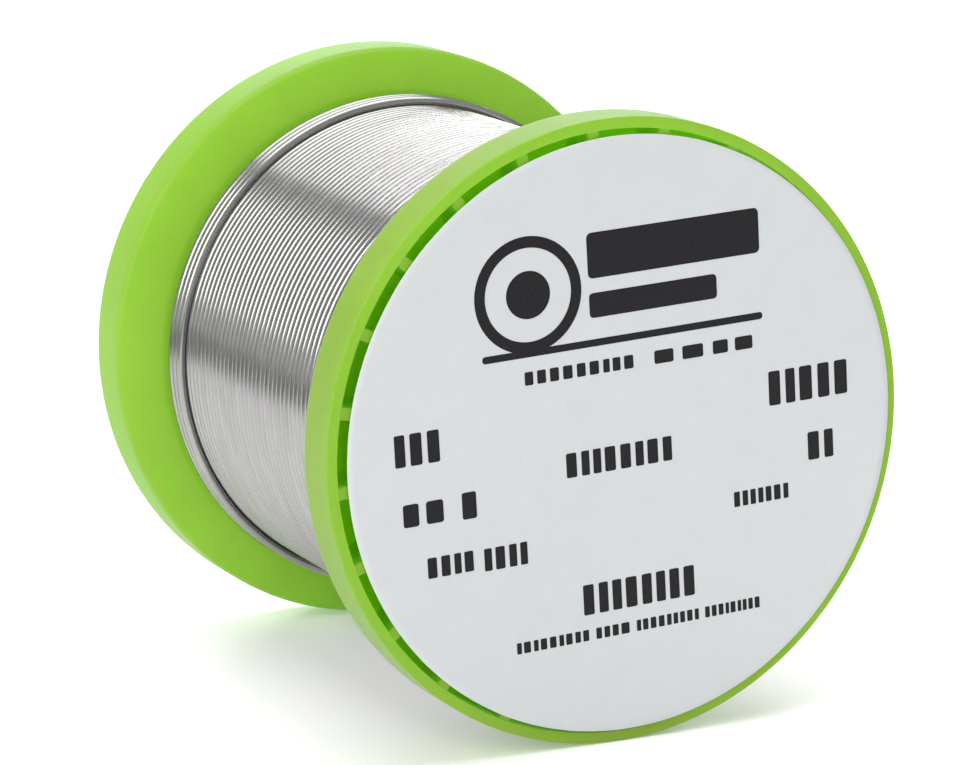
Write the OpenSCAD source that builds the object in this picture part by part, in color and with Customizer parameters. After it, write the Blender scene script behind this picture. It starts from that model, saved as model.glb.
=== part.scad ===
// Spool of flux-cored solder wire, lying on its two rims.
// The axis runs along Y, with the labelled end towards -Y and +Z up.
// The origin is on the axis, half way along the spool.

/* [Spool] */
// Diameter of both flanges
flange_d = 61; // [58:0.5:70]
// Overall length along the axis, label included
spool_len = 59.3; // [56.3:0.5:66.3]
// Diameter of the bore for the spindle
bore_d = 11; // [8:0.5:14]
// Outer diameter of the drum that the wire is wound on
drum_d = 34.4; // [33:0.2:36]
// Wall thickness of the drum
drum_wall = 1.6; // [1.2:0.1:2]
// Wall thickness of the spindle tube
tube_wall = 1.5; // [1.2:0.1:2]

/* [Flange] */
// Radial thickness of the rim
rim_wall = 1.1; // [0.9:0.1:1.4]
// Width of the cylindrical band around the rim
band_w = 4.95; // [4.45:0.1:5.95]
// Rounding between the band and the side that faces the wire
inner_round = 0.9; // [0.5:0.1:1.2]
// Rounding of the rim's outer edge
outer_round = 0.15; // [0.1:0.05:0.5]
// Distance from the outer face to the wall beside the wire
wall_depth = 7.55; // [7.05:0.1:8.55]
// Thickness of the dished wall
web_t = 1.8; // [1.4:0.1:2.2]
// Distance that the ribs lie below the rim's face
rib_drop = 0.2; // [0.1:0.05:0.4]

/* [Ribs] */
// Number of ribs between the rim and the drum ring
outer_ribs = 24; // [16:4:28]
// Number of ribs between the drum ring and the hub ring
inner_ribs = 8; // [4:2:8]
// Thickness of a rib
rib_t = 1.2; // [0.9:0.1:1.4]
// Turn of the first rib about the axis, in degrees
rib_turn = 5.7; // [0:0.1:15]

/* [Label] */
// Diameter of the paper label
label_d = 58.1; // [54:0.1:58.4]
// Thickness of the paper label
label_t = 0.15; // [0.1:0.05:0.3]
// How far the label sits off centre, sideways
label_shift_x = 0.6; // [-0.7:0.1:0.7]
// How far the label sits off centre, upwards
label_shift_z = -0.25; // [-0.5:0.05:0.5]

/* [Wire] */
// Diameter of the solder wire
wire_d = 1; // [0.8:0.1:1.1]
// Distance from one turn to the next along the axis
turn_pitch = 1.02; // [1.02:0.01:1.12]
// Turns of the unfinished layer on top, beside the rear flange
top_turns = 3; // [2:1:6]
// Length of the wire's first end, laid flat in a pocket under the label
tail_len = 7; // [4:0.5:9]

/* [Hidden] */

// Full layers of wire, one node each
layers = 9;

flange_r = flange_d / 2;
rim_r = flange_r - rim_wall;
plastic_len = spool_len - label_t;
// Local heights along the axis: +h is towards the label, so h = -y
front_h = spool_len / 2 - label_t;
rear_h = -spool_len / 2;
winding_len = plastic_len - 2 * wall_depth;
front_wall_h = front_h - wall_depth;
rear_wall_h = rear_h + wall_depth;

drum_r = drum_d / 2;
drum_bore_r = drum_r - drum_wall;
bore_r = bore_d / 2;
tube_r = bore_r + tube_wall;

// Clearance between pieces that fit into each other
fit_gap = 0.05;
// How far a cut runs past the face that it opens
cut = 1;
// The rings that hold the drum and the spindle tube, and how far they reach inwards
collar_len = 4;
collar_wall = 1.5;
hub_wall = 1.6;
hub_r = tube_r + fit_gap + hub_wall;
ring_r = drum_bore_r - fit_gap;
ring_bore_r = ring_r - collar_wall;
// How far a rib reaches into the walls around it
rib_root = 0.3;
inner_rib_drop = 1.5;

// Wound wire: each layer lies in the grooves of the one below
layer_step = wire_d * sqrt(3) / 2;
layer_r = [for (k = [0:layers]) drum_r + wire_d / 2 + k * layer_step];
turns = floor(winding_len / turn_pitch);
end_gap = (winding_len - turns * turn_pitch) / 2;
// Clearance between one layer and the next
skin = 0.02;
// How far the sleeve under a seen layer fills the valleys between its turns
valley = 0.2;

// The flange's wall is flat beside the wire, then leans outwards as a cone that runs
// into the rounding at the band
dish_gap = 0.3;
dish_r = layer_r[layers] + wire_d / 2 + dish_gap;
inner_edge = [flange_r - inner_round, band_w];
outer_edge = [flange_r - outer_round, outer_round];
to_edge = [inner_edge[0] - dish_r, wall_depth - inner_edge[1]];
lean = atan2(to_edge[0], to_edge[1]) + asin(inner_round / norm(to_edge));
dish_end = inner_edge + inner_round * [cos(lean), sin(lean)];
floor_depth = wall_depth - web_t;
rim_floor_depth = floor_depth - (rim_r - dish_r) / tan(lean);

// Each flange has a hole for the wire's first end, in the middle of a pocket
tail_angle = rib_turn + 180 / outer_ribs + 90;
tail_r = layer_r[0] + skin;
tail_hole_d = wire_d + 0.4;
tail_bend_r = 1.5;
// How far the first end lies above the pocket's floor
tail_out = 0.6;

green = [0.56, 0.80, 0.16];
solder = [0.78, 0.78, 0.77];
paper = [0.86, 0.87, 0.88];

// Local frame with h along +Z, stood up so that h points to -Y
module on_axis() {
    rotate([90, 0, 0]) children();
}

// Depths below the front flange's outer face, and below the rear flange's
module at_front() {
    on_axis() translate([0, 0, front_h]) mirror([0, 0, 1]) children();
}

module at_rear() {
    on_axis() translate([0, 0, rear_h]) children();
}

// A tube between two radii and two heights
module sleeve(r_in, r_out, h0, h1) {
    translate([0, 0, h0]) difference() {
        cylinder(r = r_out, h = h1 - h0, $fn = 128);
        translate([0, 0, -cut]) cylinder(r = r_in, h = h1 - h0 + 2 * cut, $fn = 128);
    }
}

// Section of a flange, as [radius, depth]: rim, dished wall, drum ring and hub ring
module flange_section() {
    ring_len = wall_depth + collar_len - rib_drop;
    difference() {
        union() {
            polygon([
                [tube_r + fit_gap, floor_depth],
                [dish_r, floor_depth],
                [rim_r, rim_floor_depth],
                [rim_r, 0],
                [outer_edge[0], 0],
                outer_edge,
                [flange_r, outer_edge[1]],
                [flange_r, inner_edge[1]],
                inner_edge,
                dish_end,
                [dish_r, wall_depth],
                [tube_r + fit_gap, wall_depth]
            ]);
            translate(outer_edge) circle(r = outer_round, $fn = 32);
            translate(inner_edge) circle(r = inner_round, $fn = 48);
            translate([ring_bore_r, rib_drop]) square([collar_wall, ring_len]);
            translate([tube_r + fit_gap, rib_drop]) square([hub_wall, ring_len]);
        }
        translate([flange_r, -cut]) square([inner_round, wall_depth + 2 * cut]);
    }
}

// One flange, its outer face at depth 0 and its wire side at greater depth
module flange() {
    difference() {
        union() {
            rotate_extrude($fn = 160) flange_section();
            for (k = [0:outer_ribs - 1])
                rotate([0, 0, rib_turn + k * 360 / outer_ribs])
                    translate([ring_r - rib_root, -rib_t / 2, rib_drop])
                        rib(rim_r - ring_r + 2 * rib_root, rib_t);
            for (k = [0:inner_ribs - 1])
                rotate([0, 0, rib_turn + k * 360 / inner_ribs])
                    translate([hub_r - rib_root, -rib_t / 2, inner_rib_drop])
                        cube([ring_bore_r - hub_r + 2 * rib_root, rib_t,
                            floor_depth - inner_rib_drop + rib_root]);
        }
        rotate([0, 0, tail_angle]) translate([tail_r, 0, 0])
            cylinder(d = tail_hole_d, h = wall_depth + cut, $fn = 32);
    }
}

// A radial rib whose foot follows the dished wall
module rib(length, thickness) {
    x_dish = dish_r - ring_r + rib_root;
    top = floor_depth - rib_drop + rib_root;
    end = rim_floor_depth - rib_drop + rib_root;
    translate([0, thickness, 0]) rotate([90, 0, 0])
        linear_extrude(thickness)
            polygon([[0, 0], [length, 0], [length, end], [x_dish, top], [0, top]]);
}

module front_flange() {
    color(green) at_front() flange();
}

module rear_flange() {
    color(green) at_rear() flange();
}

module drum() {
    color(green) on_axis()
        sleeve(drum_bore_r, drum_r, rear_wall_h, front_wall_h);
}

module spindle_tube() {
    color(green) on_axis()
        sleeve(bore_r, tube_r, rear_h + rib_drop, front_h - rib_drop);
}

module front_label() {
    color(paper) on_axis()
        translate([label_shift_x, label_shift_z, front_h])
            cylinder(d = label_d, h = label_t, $fn = 128);
}

// A full layer as the space that its turns fill, from groove to groove.
// Every second layer has one turn less, because its turns lie in the grooves.
module wire_layer(k) {
    r0 = (k == 0) ? drum_r + skin : layer_r[k] - layer_step / 2;
    r1 = layer_r[k] + layer_step / 2 - skin;
    inset = end_gap + (k % 2) * turn_pitch / 2;
    color(solder) on_axis()
        sleeve(r0, r1, rear_wall_h + inset, front_wall_h - inset);
}

// A layer that is seen: one round crown for each turn, on a sleeve from radius r0
module crowned_layer(k, r0, first_h, count) {
    color(solder) on_axis()
        translate([0, 0, first_h]) rotate_extrude($fn = 160) union() {
            translate([r0, 0]) square([layer_r[k] - r0 + valley, count * turn_pitch]);
            for (i = [0:count - 1])
                translate([layer_r[k], (i + 0.5) * turn_pitch])
                    circle(d = wire_d, $fn = 24);
        }
}

module wire_outer_layer() {
    k = layers - 1;
    crowned_layer(k, layer_r[k] - layer_step / 2, rear_wall_h + end_gap, turns);
}

// The unfinished layer: its turns lie in the grooves of the layer below
module wire_top_turns() {
    crowned_layer(layers, layer_r[layers - 1] + wire_d / 2 + skin,
        rear_wall_h + end_gap + turn_pitch / 2, top_turns);
}

// The wire's first end: out through the front wall, round a bend and along the pocket
module wire_first_end() {
    run_depth = floor_depth - tail_out - wire_d / 2;
    bend_depth = run_depth + tail_bend_r;
    color(solder) at_front() rotate([0, 0, tail_angle]) union() {
        translate([tail_r, 0, bend_depth])
            cylinder(d = wire_d, h = wall_depth + end_gap - skin - bend_depth, $fn = 24);
        translate([tail_r + tail_bend_r, 0, bend_depth]) rotate([90, 0, 0])
            rotate([0, 0, 180]) rotate_extrude(angle = 90, $fn = 48)
                translate([tail_bend_r, 0]) circle(d = wire_d, $fn = 24);
        translate([tail_r + tail_bend_r, 0, run_depth]) rotate([0, 90, 0])
            cylinder(d = wire_d, h = tail_len - tail_bend_r, $fn = 24);
    }
}

front_flange();
rear_flange();
drum();
spindle_tube();
front_label();
wire_top_turns();
wire_first_end();
wire_layer(0);  // wire_layer_1
wire_layer(1);  // wire_layer_2
wire_layer(2);  // wire_layer_3
wire_layer(3);  // wire_layer_4
wire_layer(4);  // wire_layer_5
wire_layer(5);  // wire_layer_6
wire_layer(6);  // wire_layer_7
wire_layer(7);  // wire_layer_8
wire_outer_layer();  // wire_layer_9
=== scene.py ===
"""Looks of a spool of solder wire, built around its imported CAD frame.

The spool lies on both rims. Its axis runs along Y, with the labelled end towards -Y
and +Z up, and the origin is on the axis, half way along the spool. Lengths are in
metres, and angles in radians unless a name says degrees.
"""
import math
import random

import bmesh
import bpy
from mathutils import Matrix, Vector, noise


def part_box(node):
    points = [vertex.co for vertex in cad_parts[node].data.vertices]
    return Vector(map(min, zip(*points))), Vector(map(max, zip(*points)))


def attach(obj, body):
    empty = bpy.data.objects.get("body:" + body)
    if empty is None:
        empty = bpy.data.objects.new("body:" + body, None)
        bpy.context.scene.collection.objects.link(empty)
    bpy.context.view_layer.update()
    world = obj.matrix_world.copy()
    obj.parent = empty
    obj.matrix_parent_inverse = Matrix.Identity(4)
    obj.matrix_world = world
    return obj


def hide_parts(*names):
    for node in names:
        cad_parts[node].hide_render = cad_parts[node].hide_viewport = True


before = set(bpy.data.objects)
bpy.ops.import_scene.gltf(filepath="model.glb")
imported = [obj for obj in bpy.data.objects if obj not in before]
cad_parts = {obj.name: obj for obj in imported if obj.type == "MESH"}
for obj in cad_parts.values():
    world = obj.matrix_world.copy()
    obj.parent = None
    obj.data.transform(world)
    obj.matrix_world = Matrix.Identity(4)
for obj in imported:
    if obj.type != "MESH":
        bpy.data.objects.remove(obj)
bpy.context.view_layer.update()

MM = 0.001
TAU = math.tau

# ---------------------------------------------------------------- camera
VIEW_AZIMUTH = math.radians(-25.88)
VIEW_ELEVATION = math.radians(12.24)
VIEW_DISTANCE = 429.13 * MM
AIM_RIGHT = -0.064 * MM
AIM_UP = -0.718 * MM
LENS_MM = 157.45


def make_camera():
    """The camera at the photograph's viewing angle, aimed at the spool's middle."""
    back = Vector((
        math.sin(VIEW_AZIMUTH) * math.cos(VIEW_ELEVATION),
        -math.cos(VIEW_AZIMUTH) * math.cos(VIEW_ELEVATION),
        math.sin(VIEW_ELEVATION),
    ))
    right = Vector((0, 0, 1)).cross(back).normalized()
    up = back.cross(right)
    data = bpy.data.cameras.new("camera")
    data.lens = LENS_MM
    data.sensor_width = 36
    data.clip_start = 0.01
    data.clip_end = 50
    camera = bpy.data.objects.new("camera", data)
    camera.location = right * AIM_RIGHT + up * AIM_UP + back * VIEW_DISTANCE
    camera.rotation_mode = "QUATERNION"
    camera.rotation_quaternion = (-back).to_track_quat("-Z", "Y")
    bpy.context.scene.collection.objects.link(camera)
    bpy.context.scene.camera = camera


# ---------------------------------------------------------------- sizes
# Those that the frame gives
front_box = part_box("front_flange")
rear_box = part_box("rear_flange")
label_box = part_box("front_label")
drum_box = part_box("drum")
tube_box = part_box("spindle_tube")

FLANGE_R = front_box[1].x
FRONT_Y = front_box[0].y
REAR_Y = rear_box[1].y
LABEL_Y = label_box[0].y
LABEL_R = (label_box[1].x - label_box[0].x) / 2
LABEL_X = (label_box[1].x + label_box[0].x) / 2
LABEL_Z = (label_box[1].z + label_box[0].z) / 2
DRUM_R = drum_box[1].x
FRONT_WALL_Y = drum_box[0].y
REAR_WALL_Y = drum_box[1].y
WALL_DEPTH = FRONT_WALL_Y - FRONT_Y
TUBE_R = tube_box[1].x
TUBE_FRONT_Y = tube_box[0].y
TUBE_REAR_Y = tube_box[1].y

# Those of the flange's moulding
RIM_WALL = 1.1 * MM
RIM_R = FLANGE_R - RIM_WALL
BAND_W = 4.95 * MM
INNER_ROUND = 0.9 * MM
OUTER_ROUND = 0.15 * MM
WEB_T = 1.8 * MM
FLOOR_DEPTH = WALL_DEPTH - WEB_T
RIB_DROP = 0.2 * MM
INNER_RIB_DROP = 1.5 * MM
OUTER_RIBS = 24
INNER_RIBS = 8
RIB_T = 1.2 * MM
RIB_TURN = math.radians(5.7)
DRUM_WALL = 1.6 * MM
FIT_GAP = 0.05 * MM
COLLAR_LEN = 4 * MM
RING_R = DRUM_R - DRUM_WALL - FIT_GAP
RING_BORE_R = RING_R - 1.5 * MM
HUB_BORE_R = TUBE_R + FIT_GAP
HUB_R = HUB_BORE_R + 1.6 * MM
BORE_R = 5.5 * MM

# Small roundings of moulded edges: a wall's top edge, its draft and its foot
EDGE_ROUND = 0.12 * MM
FOOT_ROUND = 0.22 * MM
DRAFT = 0.05 * MM
TUBE_EDGE = 0.15 * MM

# The flange's edges stay sharp past this angle, in degrees
FLANGE_SHARP = 40

# Those of the winding
WIRE_R = 0.5 * MM
TURN_PITCH = 1.02 * MM
LAYER_STEP = WIRE_R * math.sqrt(3)
LAYERS = 9
TURNS = int((REAR_WALL_Y - FRONT_WALL_Y) / TURN_PITCH)
END_GAP = (REAR_WALL_Y - FRONT_WALL_Y - TURNS * TURN_PITCH) / 2
TOP_TURNS = 3
DISH_R = DRUM_R + 2 * WIRE_R + LAYERS * LAYER_STEP + 0.3 * MM

# The wire's free end: it springs up a little, on the side of the spool that faces +X
END_SHORT = 22
FREE_LEN = 9 * MM
FREE_LIFT = 0.45 * MM

# The top turns are a little loose, so they hang below the spool by this much
TOP_SAG = 0.18 * MM

# The hole for the wire's first end, and the way the end lies in its pocket
TAIL_ANGLE = RIB_TURN + math.pi / OUTER_RIBS + math.pi / 2
TAIL_R = DRUM_R + WIRE_R + 0.02 * MM
TAIL_HOLE_R = 0.7 * MM
TAIL_BEND_R = 1.5 * MM
TAIL_LEN = 7 * MM
TAIL_DEPTH = FLOOR_DEPTH - 1.1 * MM


# ---------------------------------------------------------------- mesh helpers
def add_object(name, verts, faces, mat, sharp_degrees=None):
    """A smooth-shaded mesh object with outward normals, and sharp edges past an angle."""
    mesh = bpy.data.meshes.new(name)
    mesh.from_pydata(verts, [], faces)
    work = bmesh.new()
    work.from_mesh(mesh)
    bmesh.ops.recalc_face_normals(work, faces=work.faces)
    work.to_mesh(mesh)
    work.free()
    mesh.shade_smooth()
    if sharp_degrees:
        mesh.set_sharp_from_angle(angle=math.radians(sharp_degrees))
    mesh.materials.append(mat)
    obj = bpy.data.objects.new(name, mesh)
    bpy.context.scene.collection.objects.link(obj)
    return obj


def apply_modifiers(obj):
    """Turns an object's modifiers into its mesh."""
    graph = bpy.context.evaluated_depsgraph_get()
    mesh = bpy.data.meshes.new_from_object(obj.evaluated_get(graph))
    obj.modifiers.clear()
    obj.data = mesh


def polar(r, angle, y):
    """A point at a radius and an angle from +X towards +Z round the spool's axis."""
    return Vector((r * math.cos(angle), y, r * math.sin(angle)))


def grid_faces(rows, columns, close_rows=False, close_columns=True):
    """Quads between neighbouring rows and columns of a grid of vertices."""
    faces = []
    for i in range(rows if close_rows else rows - 1):
        below = i * columns
        above = (i + 1) % rows * columns
        for j in range(columns if close_columns else columns - 1):
            k = (j + 1) % columns
            faces.append((below + j, below + k, above + k, above + j))
    return faces


def spread(low, high, count):
    """Count values from low to high, both included."""
    return [low + (high - low) * k / (count - 1) for k in range(count)]


# ---------------------------------------------------------------- node helpers
class Nodes:
    """Builds a material's or a world's nodes in few words."""

    def __init__(self, tree):
        self.tree = tree

    def add(self, kind, inputs=None, **settings):
        node = self.tree.nodes.new(kind)
        for name, value in settings.items():
            setattr(node, name, value)
        for name, value in (inputs or {}).items():
            self.put(node, name, value)
        return node

    def put(self, node, name, value):
        if isinstance(value, bpy.types.NodeSocket):
            self.tree.links.new(value, node.inputs[name])
        else:
            node.inputs[name].default_value = value

    def noise(self, vector, per_mm, detail=3.0, roughness=0.5):
        return self.add("ShaderNodeTexNoise", {
            "Vector": vector, "Scale": per_mm / MM, "Detail": detail, "Roughness": roughness,
        }).outputs["Fac"]

    def remap(self, value, low, high, to_low, to_high):
        return self.add("ShaderNodeMapRange", {
            "Value": value, "From Min": low, "From Max": high,
            "To Min": to_low, "To Max": to_high,
        }).outputs["Result"]

    def math(self, operation, a, b):
        node = self.add("ShaderNodeMath", operation=operation)
        self.put(node, 0, a)
        self.put(node, 1, b)
        return node.outputs[0]

    def mix(self, factor, a, b):
        node = self.add("ShaderNodeMix", data_type="RGBA")
        self.put(node, 0, factor)
        self.put(node, 6, a)
        self.put(node, 7, b)
        return node.outputs[2]

    def scaled(self, vector, scale):
        return self.add("ShaderNodeMapping", {"Vector": vector, "Scale": scale}).outputs[0]

    def bump(self, height, distance_mm, strength=1.0, normal=None):
        node = self.add("ShaderNodeBump", {
            "Height": height, "Distance": distance_mm * MM, "Strength": strength,
        })
        if normal:
            self.put(node, "Normal", normal)
        return node.outputs[0]


def new_material(name, **sockets):
    """A Principled material, its plain socket values, and its node builder."""
    mat = bpy.data.materials.new(name)
    mat.use_nodes = True
    nodes = Nodes(mat.node_tree)
    shader = mat.node_tree.nodes["Principled BSDF"]
    for socket, value in sockets.items():
        shader.inputs[socket.replace("_", " ")].default_value = value
    return mat, nodes, shader


def object_coordinates(nodes):
    return nodes.add("ShaderNodeTexCoord").outputs["Object"]


def uv_coordinates(nodes):
    return nodes.add("ShaderNodeTexCoord").outputs["UV"]


# ---------------------------------------------------------------- materials
# Share of the plastic's look that comes from light passing through it
THROUGH_SHARE = 0.55


def green_plastic():
    """Moulded green plastic with a fine grain, which lets some light through."""
    mat, nodes, shader = new_material(
        "moulded_plastic", IOR=1.49, Sheen_Weight=0.6, Sheen_Roughness=0.4
    )
    place = object_coordinates(nodes)
    cloud = nodes.remap(nodes.noise(place, 0.07, detail=2), 0.35, 0.65, 0, 1)
    tint = nodes.mix(cloud, (0.425, 0.55, 0.06, 1), (0.465, 0.59, 0.07, 1))
    nodes.put(shader, "Base Color", tint)
    grain = nodes.noise(place, 3.2, detail=4, roughness=0.6)
    scuffs = nodes.noise(nodes.scaled(place, (0.25, 4, 0.25)), 1.2, detail=3)
    worn = nodes.math("ADD", grain, nodes.math("MULTIPLY", scuffs, 0.6))
    nodes.put(shader, "Roughness", nodes.remap(worn, 0.5, 1.1, 0.40, 0.54))
    waves = nodes.bump(nodes.noise(place, 0.25, detail=1), 0.03, 0.5)
    surface = nodes.bump(grain, 0.006, 0.6, waves)
    nodes.put(shader, "Normal", surface)
    through = nodes.add("ShaderNodeBsdfTranslucent", {
        "Color": (0.42, 0.86, 0.05, 1), "Normal": surface,
    })
    blend = nodes.add("ShaderNodeMixShader", {
        0: THROUGH_SHARE, 1: shader.outputs[0], 2: through.outputs[0],
    })
    nodes.put(mat.node_tree.nodes["Material Output"], "Surface", blend.outputs[0])
    return mat


def paper():
    """Matte label paper with fibres."""
    mat, nodes, shader = new_material("coated_paper", IOR=1.45)
    place = object_coordinates(nodes)
    fibres = nodes.noise(nodes.scaled(place, (1, 1, 0.35)), 4.0, detail=5, roughness=0.65)
    cloud = nodes.noise(place, 0.35, detail=3)
    tone = nodes.math("ADD", nodes.math("MULTIPLY", fibres, 0.5), nodes.math("MULTIPLY", cloud, 0.5))
    nodes.put(shader, "Base Color", nodes.mix(
        nodes.remap(tone, 0.35, 0.65, 0, 1), (0.615, 0.637, 0.646, 1), (0.638, 0.66, 0.669, 1)
    ))
    nodes.put(shader, "Roughness", nodes.remap(fibres, 0.3, 0.7, 0.62, 0.8))
    nodes.put(shader, "Normal", nodes.bump(fibres, 0.012, 0.5))
    return mat


def ink():
    """Printing ink that lies a little unevenly."""
    mat, nodes, shader = new_material("printing_ink", IOR=1.4, Specular_IOR_Level=0.3)
    place = object_coordinates(nodes)
    speckle = nodes.noise(place, 6.0, detail=3)
    nodes.put(shader, "Base Color", nodes.mix(
        nodes.remap(speckle, 0.45, 0.75, 0, 1), (0.008, 0.007, 0.009, 1), (0.022, 0.020, 0.024, 1)
    ))
    nodes.put(shader, "Roughness", nodes.remap(speckle, 0.3, 0.7, 0.42, 0.6))
    return mat


def solder_metal():
    """Drawn solder wire: bright metal with fine streaks along the wire."""
    mat, nodes, shader = new_material("solder_wire", Metallic=0.82)
    place = uv_coordinates(nodes)
    streaks = nodes.add("ShaderNodeTexNoise", {
        "Vector": nodes.scaled(place, (0.35, 9, 1)), "Scale": 1.0, "Detail": 4.0, "Roughness": 0.6,
    }).outputs["Fac"]
    cloud = nodes.add("ShaderNodeTexNoise", {
        "Vector": nodes.scaled(place, (0.12, 1.2, 1)), "Scale": 1.0, "Detail": 2.0,
    }).outputs["Fac"]
    nodes.put(shader, "Base Color", nodes.mix(
        nodes.remap(cloud, 0.3, 0.7, 0, 1), (0.33, 0.323, 0.32, 1), (0.395, 0.387, 0.382, 1)
    ))
    nodes.put(shader, "Roughness", nodes.remap(streaks, 0.3, 0.7, 0.15, 0.24))
    nodes.put(shader, "Normal", nodes.bump(streaks, 0.006, 0.12))
    return mat


# ---------------------------------------------------------------- flanges
def quarter_turn(steps):
    return spread(0, math.pi / 2, steps)


def wall_stations(steps=4):
    """From a moulded wall's top edge to its foot, each (distance out, from top, amount).

    The depth at a station is the top's plus the amount, or the floor's less the amount.
    """
    top = [(EDGE_ROUND * (math.sin(t) - 1), True, EDGE_ROUND * (1 - math.cos(t)))
           for t in quarter_turn(steps)]
    foot = [(DRAFT + FOOT_ROUND * (1 - math.cos(t)), False, FOOT_ROUND * (1 - math.sin(t)))
            for t in quarter_turn(steps)]
    return top + foot


def station_depth(station, top, floor):
    _, from_top, amount = station
    return top + amount if from_top else floor - amount


def dish_lean():
    """The angle between the spool's axis and the line square to the dished wall."""
    across = FLANGE_R - INNER_ROUND - DISH_R
    along = WALL_DEPTH - BAND_W
    return math.atan2(across, along) + math.asin(INNER_ROUND / math.hypot(across, along))


def floor_depth(r):
    """Depth of the pockets' floor, which follows the dished wall."""
    return FLOOR_DEPTH - max(0, r - DISH_R) / math.tan(dish_lean())


def pocket_rows(r_in, r_out, top_in, top_out, rib_top, middle):
    """Rows (radius, depth, rib top) down a ring's wall, across a pocket and up again."""
    rows = []
    for station in wall_stations():
        r = r_in + station[0]
        rows.append((r, station_depth(station, top_in, floor_depth(r)), rib_top))
    rows += [(r, floor_depth(r), rib_top) for r in middle]
    for station in reversed(wall_stations()):
        r = r_out - station[0]
        rows.append((r, station_depth(station, top_out, floor_depth(r)), rib_top))
    return rows


def between(start, end, share):
    """The point a share of the way from one (radius, depth) to another."""
    return tuple(a + (b - a) * share for a, b in zip(start, end))


def flange_rows():
    """The flange's section as a closed loop of rows, from the bore over the outer face."""
    section = []
    for t in quarter_turn(4):
        section.append((HUB_BORE_R + EDGE_ROUND * (1 - math.cos(t)),
                        RIB_DROP + EDGE_ROUND * (1 - math.sin(t))))
    hub_edge = [(r, depth, None) for r, depth in section]

    inner_middle = spread(HUB_R + 1.5 * MM, RING_BORE_R - 1.5 * MM, 3)
    inner = pocket_rows(HUB_R, RING_BORE_R, RIB_DROP, RIB_DROP, INNER_RIB_DROP, inner_middle)
    outer_middle = spread(RING_R + 1.5 * MM, DISH_R, 6)
    outer_middle += spread(DISH_R + 0.6 * MM, RIM_R - MM, 3)
    outer = pocket_rows(RING_R, RIM_R, RIB_DROP, 0, RIB_DROP, outer_middle)

    # The rim's outer edge, the band, its rounding and the dished wall
    section = []
    for t in quarter_turn(6):
        section.append((FLANGE_R - OUTER_ROUND * (1 - math.sin(t)), OUTER_ROUND * (1 - math.cos(t))))
    section += [(FLANGE_R, depth) for depth in spread(0.8 * MM, BAND_W, 6)]
    edge = FLANGE_R - INNER_ROUND
    for t in spread(0, dish_lean(), 9)[1:]:
        section.append((edge + INNER_ROUND * math.cos(t), BAND_W + INNER_ROUND * math.sin(t)))
    dish_end = section[-1]
    section += [between(dish_end, (DISH_R, WALL_DEPTH), share) for share in (0.25, 0.5, 0.75, 0.96)]

    # The flat wall beside the wire, and the two rings that reach inwards
    flat = (DISH_R - 0.2 * MM, DISH_R - MM, (DISH_R + DRUM_R) / 2, DRUM_R, RING_R)
    section += [(r, WALL_DEPTH) for r in flat]
    collar_depth = WALL_DEPTH + COLLAR_LEN
    section += [(RING_R, collar_depth), (RING_BORE_R, collar_depth)]
    section += [(RING_BORE_R, WALL_DEPTH), (HUB_R, WALL_DEPTH)]
    section += [(HUB_R, collar_depth), (HUB_BORE_R, collar_depth)]
    return hub_edge + inner + outer + [(r, depth, None) for r, depth in section]


def flange_columns():
    """Columns of one rib's share of the flange, each (kind, side, station or share)."""
    stations = wall_stations()
    return (
        [("rib", -1, station) for station in reversed(stations)]
        + [("centre", 0, None)]
        + [("rib", 1, station) for station in stations]
        + [("pocket", 0, share) for share in (0.2, 0.4, 0.6, 0.8)]
    )


def column_angle(column, r):
    """Angle of a column from its rib's middle, at radius r: ribs have parallel sides."""
    kind, side, detail = column
    if kind == "centre":
        return 0
    if kind == "rib":
        return side * math.asin((RIB_T / 2 + detail[0]) / r)
    foot = math.asin((RIB_T / 2 + DRAFT + FOOT_ROUND) / r)
    return foot + (TAU / OUTER_RIBS - 2 * foot) * detail


def column_depth(column, rib_top, r):
    """Depth of a rib at a column, or of the pocket's floor beside it."""
    kind, _, detail = column
    if kind == "centre":
        return rib_top
    if kind == "rib":
        return station_depth(detail, rib_top, floor_depth(r))
    return floor_depth(r)


def make_flange(name, outer_y, inward, mat):
    """A moulded flange. inward is +1 where its depth grows towards +Y, and -1 otherwise."""
    columns = flange_columns()
    verts = []
    for r, depth, rib_top in flange_rows():
        for k in range(OUTER_RIBS):
            every = OUTER_RIBS // INNER_RIBS if rib_top == INNER_RIB_DROP else 1
            has_rib = rib_top is not None and k % every == 0
            for column in columns:
                angle = RIB_TURN + k * TAU / OUTER_RIBS + column_angle(column, r)
                here = min(depth, column_depth(column, rib_top, r)) if has_rib else depth
                verts.append(polar(r, angle, outer_y + inward * here))
    count = OUTER_RIBS * len(columns)
    faces = grid_faces(len(verts) // count, count, close_rows=True)
    flange = add_object(name, verts, faces, mat, sharp_degrees=FLANGE_SHARP)
    drill_tail_hole(flange, outer_y, inward)
    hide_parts(name.replace("_moulding", ""))
    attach(flange, "root")


def drill_tail_hole(flange, outer_y, inward):
    """Cuts the hole that the wire's first end can pass through."""
    y_low = outer_y + inward * (FLOOR_DEPTH - 2 * MM)
    y_high = outer_y + inward * (WALL_DEPTH + MM)
    centre = polar(TAIL_R, TAIL_ANGLE, 0)
    count = 32
    verts = []
    for y in (y_low, y_high):
        for k in range(count):
            verts.append(centre + polar(TAIL_HOLE_R, k * TAU / count, y))
    faces = grid_faces(2, count)
    faces += [tuple(range(count)), tuple(range(count, 2 * count))]
    cutter = add_object("tail_hole_cutter", verts, faces, flange.data.materials[0])
    cut = flange.modifiers.new("hole", "BOOLEAN")
    cut.operation = "DIFFERENCE"
    cut.solver = "EXACT"
    cut.object = cutter
    apply_modifiers(flange)
    flange.data.set_sharp_from_angle(angle=math.radians(FLANGE_SHARP))
    bpy.data.objects.remove(cutter)


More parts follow.
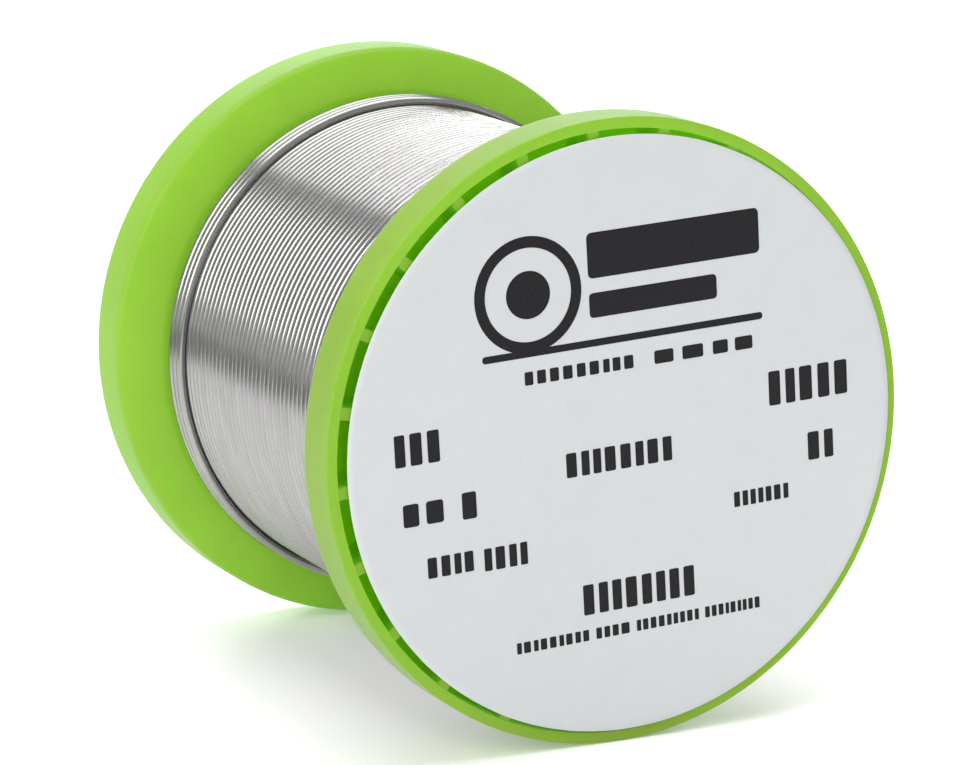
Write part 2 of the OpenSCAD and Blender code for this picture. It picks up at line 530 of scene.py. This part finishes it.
# ---------------------------------------------------------------- drum and spindle tube
def make_tube(name, r_in, r_out, y0, y1, mat, node):
    """A moulded tube with rounded edges at both ends."""
    section = []
    for r, y, turn in ((r_in, y0, 2), (r_out, y0, 3), (r_out, y1, 0), (r_in, y1, 1)):
        centre_r = r + TUBE_EDGE if r == r_in else r - TUBE_EDGE
        centre_y = y + TUBE_EDGE if y == y0 else y - TUBE_EDGE
        for t in quarter_turn(4):
            angle = turn * math.pi / 2 + t
            section.append((centre_r + TUBE_EDGE * math.cos(angle),
                            centre_y + TUBE_EDGE * math.sin(angle)))
    count = 192
    verts = [polar(r, k * TAU / count, y) for r, y in section for k in range(count)]
    faces = grid_faces(len(section), count, close_rows=True)
    tube = add_object(name, verts, faces, mat, sharp_degrees=50)
    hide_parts(node)
    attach(tube, "root")


# ---------------------------------------------------------------- wire
# The turns lie square to the axis. Between these two angles, on the side of the spool
# that faces +X, each turn steps on to the next place, and a full layer to the next layer.
STEP_FROM = math.radians(-55)
STEP_TO = math.radians(35)
OUTER_SIDES = 16
INNER_SIDES = 8
OUTER_STEPS = 120
INNER_STEPS = 48


def smooth(t):
    t = min(1.0, max(0.0, t))
    return t * t * (3 - 2 * t)


def turns_gone(angle):
    """Steps made by an angle counted from where a layer's first turn starts, at STEP_TO."""
    whole, part = divmod(angle, TAU)
    return whole + smooth((part - (STEP_FROM - STEP_TO + TAU)) / (STEP_TO - STEP_FROM))


def wobble(point, scale_mm, seed):
    """Smooth irregularity between about -1 and 1."""
    return noise.noise(point / (scale_mm * MM) + Vector((seed, 0, 0)))


def make_wire(name, path, sides, mat):
    """A round wire along points (position, outward direction), with blunt cut ends."""
    verts = []
    lengths = [0.0]
    for i, (point, outward) in enumerate(path):
        before = path[max(0, i - 1)][0]
        after = path[min(len(path) - 1, i + 1)][0]
        along = (after - before).normalized()
        side = along.cross(outward).normalized()
        up = side.cross(along)
        if i:
            lengths.append(lengths[-1] + (point - path[i - 1][0]).length)
        for k in range(sides):
            angle = k * TAU / sides
            verts.append(point + WIRE_R * (math.cos(angle) * up + math.sin(angle) * side))
    rows = len(path)
    faces = grid_faces(rows, sides)
    faces += [tuple(range(sides)), tuple(range((rows - 1) * sides, rows * sides))]
    wire = add_object(name, verts, faces, mat, sharp_degrees=60)
    wrap_uv(wire, lengths, sides)
    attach(wire, "root")
    return wire


def wrap_uv(wire, lengths, sides):
    """Millimetres along the wire, and the share of a turn round it, as UV coordinates."""
    layer = wire.data.uv_layers.new(name="along_and_round")
    for face in wire.data.polygons:
        corners = [wire.data.loops[i].vertex_index for i in face.loop_indices]
        places = [(lengths[v // sides], v % sides) for v in corners]
        wraps = max(p[1] for p in places) - min(p[1] for p in places) > sides / 2
        for i, (along, round_) in zip(face.loop_indices, places):
            if wraps and round_ < sides / 2:
                round_ += sides
            layer.data[i].uv = (along / MM, round_ / sides)


def layer_radius(k):
    return DRUM_R + WIRE_R + k * LAYER_STEP


def layer_turns(k):
    """Every second layer has one turn less, because its turns lie in the grooves."""
    return TURNS - k % 2


def layer_place(k, step):
    """Y of a layer's turn. Layers run to the rear and back by turns, the first from the front."""
    inset = END_GAP + TURN_PITCH / 2 + (k % 2) * TURN_PITCH / 2 + step * TURN_PITCH
    return REAR_WALL_Y - inset if k % 2 else FRONT_WALL_Y + inset


def layer_path(k, steps):
    """A layer's turns, with its climb to the layer above, as points and outward directions."""
    count = layer_turns(k)
    path = []
    for i in range(count * steps + 1):
        gone = turns_gone(i * TAU / steps)
        climb = max(0.0, gone - (count - 1))
        last_y = layer_place(k, count - 1)
        y = layer_place(k, gone) if not climb else last_y + (layer_place(k + 1, 0) - last_y) * climb
        path.append(wound_point(layer_radius(k) + LAYER_STEP * climb, STEP_TO + i * TAU / steps, y))
    return path


def wound_point(r, angle, y):
    """A point of the winding with its small irregularities, and its outward direction."""
    point = polar(r, angle, y)
    sway = 0.035 * MM * wobble(point, 9, 3.1) + 0.004 * MM * wobble(point, 1.6, 7.7)
    lift = 0.01 * MM * wobble(point, 7, 11.3)
    outward = polar(1, angle, 0)
    return point + Vector((0, sway, 0)) + outward * lift, outward


def sagged(point):
    """A loose turn's point: it keeps its place at the top and hangs at the bottom."""
    low = (1 - point.z / layer_radius(LAYERS)) / 2
    return point - Vector((0, 0, TOP_SAG * low))


def make_winding(mat):
    """One piece of wire for each layer. Only the last full layer is seen."""
    for k in range(LAYERS):
        seen = k == LAYERS - 1
        path = layer_path(k, OUTER_STEPS if seen else INNER_STEPS)
        wire = make_wire(f"winding_{k + 1}", path, OUTER_SIDES if seen else INNER_SIDES, mat)
        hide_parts(f"wire_layer_{k + 1}")


def make_top_turns(mat):
    """The unfinished layer, in the grooves of the one below, with the wire's free end."""
    path = layer_path(LAYERS, OUTER_STEPS)[:TOP_TURNS * OUTER_STEPS - END_SHORT]
    path = [(sagged(point), outward) for point, outward in path]
    free = int(OUTER_STEPS * FREE_LEN / (TAU * layer_radius(LAYERS)))
    for i in range(1, free + 1):
        point, outward = path[i - free - 1]
        path[i - free - 1] = (point + outward * FREE_LIFT * (i / free) ** 2, outward)
    wire = make_wire("winding_top", path, OUTER_SIDES, mat)
    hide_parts("wire_top_turns")


def make_first_end(mat):
    """The wire's first end: through the wall, round a bend and along a pocket."""
    inside = FRONT_Y + WALL_DEPTH + 0.08 * MM
    run_y = FRONT_Y + TAIL_DEPTH
    outward = polar(1, TAIL_ANGLE, 0)
    hole = outward * TAIL_R
    path = [(hole + Vector((0, y, 0)), outward) for y in spread(inside, run_y + TAIL_BEND_R, 6)]
    for t in spread(0, math.pi / 2, 12)[1:]:
        centre = hole + outward * TAIL_BEND_R + Vector((0, run_y + TAIL_BEND_R, 0))
        path.append((centre - TAIL_BEND_R * (outward * math.cos(t) + Vector((0, math.sin(t), 0))),
                     outward * math.cos(t) + Vector((0, math.sin(t), 0))))
    end = hole + Vector((0, run_y, 0))
    path += [(end + outward * r, Vector((0, 1, 0))) for r in spread(TAIL_BEND_R, TAIL_LEN, 10)[1:]]
    wire = make_wire("first_end", path, 16, mat)
    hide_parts("wire_first_end")


# ---------------------------------------------------------------- label
PRINT_TURN = math.radians(3.4)
INK_THICK = 0.015 * MM
# Share of each letter's place that its block fills
BLOCK_SHARE = 0.68


def paper_lift(u, v):
    """How far the paper stands proud at a place: it is flat near its edge."""
    fade = max(0.0, 1 - (math.hypot(u, v) / (LABEL_R - 3 * MM)) ** 4)
    return 0.01 * MM * fade * noise.noise(Vector((u, v, 0)) / (11 * MM))


def make_label(mat):
    """A paper disc with a cut edge, on the front rim and ribs."""
    centre = 0.001 * MM
    edge = 0.03 * MM
    count = 240
    verts = []
    rows = [(r, None) for r in [centre] + spread(1.5 * MM, LABEL_R - 0.6 * MM, 19)]
    rows += [(LABEL_R - edge, LABEL_Y), (LABEL_R, LABEL_Y + edge)]
    rows += [(LABEL_R, FRONT_Y), (centre, FRONT_Y)]
    for r, y in rows:
        for k in range(count):
            angle = k * TAU / count
            rough = 0.02 * MM * noise.noise(Vector((math.cos(angle), math.sin(angle), 0)) * 14)
            reach = r + (rough if r > LABEL_R - MM else 0)
            u = reach * math.cos(angle)
            v = reach * math.sin(angle)
            height = LABEL_Y - paper_lift(u, v) if y is None else y
            verts.append(Vector((LABEL_X + u, height, LABEL_Z + v)))
    faces = grid_faces(len(rows), count)
    faces += [tuple(range(count)), tuple(range((len(rows) - 1) * count, len(rows) * count))]
    label = add_object("paper_label", verts, faces, mat, sharp_degrees=50)
    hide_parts("front_label")
    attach(label, "root")


def rounded_box(u, v, width, height, corner):
    """Outline of a box about its middle, with round corners."""
    points = []
    for quarter, (su, sv) in enumerate(((1, 1), (-1, 1), (-1, -1), (1, -1))):
        for t in quarter_turn(4):
            angle = quarter * math.pi / 2 + t
            points.append((u + su * (width / 2 - corner) + corner * math.cos(angle),
                           v + sv * (height / 2 - corner) + corner * math.sin(angle)))
    return points


def ring_outline(u, v, r_out, r_in):
    """Outlines of a ring, as short quads all the way round."""
    count = 64
    quads = []
    for k in range(count):
        a = k * TAU / count
        b = (k + 1) * TAU / count
        quads.append([(u + r * math.cos(t), v + r * math.sin(t))
                      for r, t in ((r_in, a), (r_out, a), (r_out, b), (r_in, b))])
    return quads


def word(draw, left, middle, width, height, letters):
    """A run of plain blocks in place of a word."""
    shares = [draw.uniform(0.8, 1.2) for _ in range(letters)]
    unit = width / sum(shares)
    blocks = []
    at = left
    for share in shares:
        block_w = share * unit * BLOCK_SHARE
        corner = 0.15 * min(block_w, height)
        blocks.append(rounded_box(at + block_w / 2, middle, block_w, height, corner))
        at += share * unit
    return blocks


def print_shapes():
    """Generic print: a ring, bars and runs of blocks. Places are from the label's middle."""
    draw = random.Random(5)
    shapes = ring_outline(-9.6 * MM, 15.2 * MM, 5.6 * MM, 4.5 * MM)
    shapes += ring_outline(-9.6 * MM, 15.2 * MM, 2.3 * MM, 0.01 * MM)
    shapes.append(rounded_box(6.0 * MM, 18.0 * MM, 18.5 * MM, 4.4 * MM, 0.5 * MM))
    shapes.append(rounded_box(3.6 * MM, 13.2 * MM, 13.7 * MM, 2.4 * MM, 0.4 * MM))
    shapes.append(rounded_box(0.3 * MM, 9.6 * MM, 30 * MM, 0.7 * MM, 0.3 * MM))
    for left, middle, width, height, letters in (
        (-10.4, 7.2, 12.0, 1.3, 9), (3.4, 7.2, 11.6, 1.3, 4),
        (-24.2, 2.3, 5.2, 3.1, 3), (-23.7, -4.0, 5.0, 2.2, 2), (-17.6, -4.0, 2.2, 2.6, 1),
        (-21.5, -9.4, 5.2, 2.0, 4), (-15.6, -9.6, 4.9, 2.2, 4),
        (-6.5, -1.9, 11.8, 2.4, 8), (15.7, 2.2, 9.4, 3.4, 5), (19.8, -4.2, 3.3, 2.8, 2),
        (11.4, -8.2, 6.3, 1.5, 7), (-5.4, -15.4, 12.6, 3.0, 8),
        (-12.7, -18.9, 8.0, 1.1, 9), (-4.2, -18.9, 4.0, 1.1, 4), (0.2, -18.9, 7.0, 1.1, 9),
        (7.7, -18.9, 6.3, 1.1, 9),
    ):
        shapes += word(draw, left * MM, middle * MM, width * MM, height * MM, letters)
    return shapes


def make_print(mat):
    """The print as thin plates of ink that follow the paper."""
    verts = []
    faces = []
    for outline in print_shapes():
        base = len(verts)
        count = len(outline)
        for height in (INK_THICK, -INK_THICK):
            for a, b in outline:
                u = a * math.cos(PRINT_TURN) - b * math.sin(PRINT_TURN)
                v = a * math.sin(PRINT_TURN) + b * math.cos(PRINT_TURN)
                verts.append(Vector((LABEL_X + u, LABEL_Y - paper_lift(u, v) - height, LABEL_Z + v)))
        faces.append(tuple(range(base, base + count)))
        faces.append(tuple(range(base + 2 * count - 1, base + count - 1, -1)))
        for k in range(count):
            after = (k + 1) % count
            faces.append((base + k, base + after, base + count + after, base + count + k))
    marks = add_object("label_print", verts, faces, mat, sharp_degrees=30)
    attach(marks, "root")


# ---------------------------------------------------------------- studio
# The room's brightness behind the spool and in front of it, and that of the haze with its top
ROOM_LEVEL = 0.2
FRONT_LEVEL = 0.47
HAZE_LEVEL = 0.9
HAZE_TOP = math.radians(9)
TABLE_EDGE_X = -190 * MM
# How far the floor reaches
FAR = 4


def floor_material():
    """Matte white that glows a little, so that the floor looks even."""
    mat, nodes, shader = new_material(
        "studio_floor", Roughness=0.7, Emission_Color=(1, 1, 1, 1), Emission_Strength=0.2
    )
    cloud = nodes.noise(object_coordinates(nodes), 0.004, detail=2)
    nodes.put(shader, "Base Color", nodes.mix(cloud, (0.86, 0.86, 0.86, 1), (0.9, 0.9, 0.9, 1)))
    return mat


def make_floor():
    """A plain pale disc that the spool lies on."""
    count = 96
    floor_z = -FLANGE_R
    verts = [Vector((0, 0, floor_z))]
    for k in range(count):
        angle = k * TAU / count
        verts.append(Vector((FAR * math.cos(angle), FAR * math.sin(angle), floor_z)))
    faces = [(0, 1 + k, 1 + (k + 1) % count) for k in range(count)]
    floor = add_object("studio_floor", verts, faces, floor_material())


def make_dark_strip():
    """What lies beyond the table's left edge: dark, and seen only in reflections."""
    mat, _, shader = new_material("dark_strip", Roughness=1.0)
    shader.inputs["Base Color"].default_value = (0.02, 0.02, 0.02, 1)
    height = 0.5 * MM - FLANGE_R
    corners = ((-FAR, -FAR), (TABLE_EDGE_X, -FAR), (TABLE_EDGE_X, FAR), (-FAR, FAR))
    verts = [Vector((x, y, height)) for x, y in corners]
    strip = add_object("dark_strip", verts, [(0, 1, 2, 3)], mat)
    for ray in ("camera", "diffuse", "shadow", "transmission"):
        setattr(strip, "visible_" + ray, False)


def make_world():
    """Dim light from the room, brighter in front, with a bright haze where the table ends."""
    world = bpy.data.worlds.new("studio")
    world.use_nodes = True
    bpy.context.scene.world = world
    nodes = Nodes(world.node_tree)
    direction = nodes.add("ShaderNodeTexCoord").outputs["Generated"]
    along = nodes.add("ShaderNodeSeparateXYZ", {"Vector": direction}).outputs
    room = nodes.remap(along["Y"], -0.3, 0.5, FRONT_LEVEL, ROOM_LEVEL)
    level = nodes.remap(along["Z"], 0, math.sin(HAZE_TOP), HAZE_LEVEL, room)
    nodes.put(world.node_tree.nodes["Background"], "Color", level)


def add_area_light(name, place, target, size, power):
    """A softbox that lights the object without being seen itself."""
    data = bpy.data.lights.new(name, "AREA")
    data.shape = "RECTANGLE"
    data.size, data.size_y = size
    data.energy = power
    light = bpy.data.objects.new(name, data)
    light.location = place
    light.rotation_mode = "QUATERNION"
    light.rotation_quaternion = (Vector(target) - Vector(place)).to_track_quat("-Z", "Y")
    light.visible_camera = False
    bpy.context.scene.collection.objects.link(light)


def make_lights():
    """Three softboxes: overhead, on the left, and behind."""
    middle = (0, 0, 0)
    add_area_light("top_light", (0.05, 0.15, 0.7), (0.05, 0.15, 0), (0.8, 0.8), 5.5)
    add_area_light("left_light", (-0.9, -0.35, 0.55), middle, (0.7, 0.8), 7.4)
    add_area_light("back_light", (0.5, 1.15, 0.4), middle, (0.9, 0.35), 7)


# ---------------------------------------------------------------- build
make_camera()
plastic = green_plastic()
solder = solder_metal()
make_flange("front_flange_moulding", FRONT_Y, 1, plastic)
make_flange("rear_flange_moulding", REAR_Y, -1, plastic)
make_tube("drum_moulding", DRUM_R - DRUM_WALL, DRUM_R, FRONT_WALL_Y, REAR_WALL_Y, plastic, "drum")
make_tube("spindle_tube_moulding", BORE_R, TUBE_R, TUBE_FRONT_Y, TUBE_REAR_Y, plastic, "spindle_tube")
make_winding(solder)
make_top_turns(solder)
make_first_end(solder)
make_label(paper())
make_print(ink())
make_floor()
make_dark_strip()
make_world()
make_lights()
bpy.context.scene.view_settings.view_transform = "Standard"
